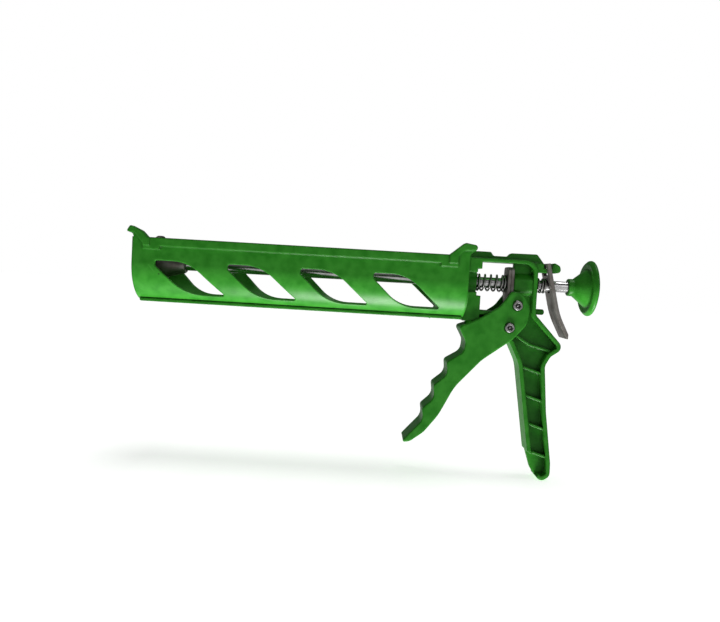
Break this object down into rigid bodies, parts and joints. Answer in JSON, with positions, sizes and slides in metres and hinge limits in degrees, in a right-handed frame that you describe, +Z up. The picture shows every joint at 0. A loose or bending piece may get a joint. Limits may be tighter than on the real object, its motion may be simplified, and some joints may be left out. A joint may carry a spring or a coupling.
{
  "type": "caulking gun",
  "caption": "Hand-powered skeleton gun that pushes sealant out of a cartridge with a ratchet-free gripping rod.",
  "frame": {"origin": "centre of the nozzle notch: where the push rod's axis crosses the front face of the cradle", "axes": "+X along the push rod towards the knob; +Z up, out of the open top of the cradle; Y across the gun"},
  "size_m": [0.3335, 0.0618, 0.1683],
  "materials": {
    "green_plastic": "semi-gloss moulded, lightly scuffed",
    "rod_steel": "bright drawn, lightly scratched",
    "plate_steel": "pressed, dull grey-brown",
    "spring_steel": "bright zinc",
    "zinc_steel": "bright zinc",
    "insert_brass": "plain"
  },
  "bodies": {
    "frame": {"cradle": "green_plastic", "frame": "green_plastic", "drive_spring": "spring_steel", "release_spring": "spring_steel"},
    "plunger": {"plunger_disc": "plate_steel", "plunger_hub": "plate_steel"},
    "rod": {"push_rod": "rod_steel", "plunger_washer": "zinc_steel", "plunger_nut": "zinc_steel", "knob": "green_plastic", "knob_insert": "insert_brass"},
    "drive_plates": {"drive_plate_front": "plate_steel", "drive_plate_rear": "plate_steel"},
    "trigger": {"trigger": "green_plastic", "pivot_sleeve": "zinc_steel", "pivot_screw": "zinc_steel", "pivot_nut": "zinc_steel", "pusher_sleeve": "zinc_steel", "pusher_screw": "zinc_steel", "pusher_nut": "zinc_steel"},
    "release_lever": {"release_lever": "plate_steel"}
  },
  "joints": [
    {"name": "trigger_pivot", "type": "hinge", "parent": "frame", "child": "trigger", "pos_m": [0.2698, 0, -0.0315], "axis": [0, -1, 0], "range_deg": [0, 32], "stiffness_Nm_per_rad": 0.5, "springref_deg": -8.59},
    {"name": "drive_plate_slide", "type": "slide", "parent": "frame", "child": "drive_plates", "axis": [-1, 0, 0], "range_m": [0, 0.0095], "deforming": ["drive_spring"]},
    {"name": "rod_slide", "type": "slide", "parent": "frame", "child": "plunger", "axis": [1, 0, 0], "range_m": [-0.001, 0.195]},
    {"name": "rod_turn", "type": "hinge", "parent": "plunger", "child": "rod", "pos_m": [0, 0, 0], "axis": [1, 0, 0], "continuous": true},
    {"name": "release_lever", "type": "hinge", "parent": "frame", "child": "release_lever", "pos_m": [0.2959, 0, 0.0135], "axis": [0, 1, 0], "range_deg": [0, 5], "stiffness_Nm_per_rad": 0.2, "springref_deg": -17.19, "deforming": ["release_spring"]}
  ],
  "couplings": [
    {"joint": "drive_plate_slide", "follows": "trigger_pivot", "m_per_rad": 0.01665}
  ]
}
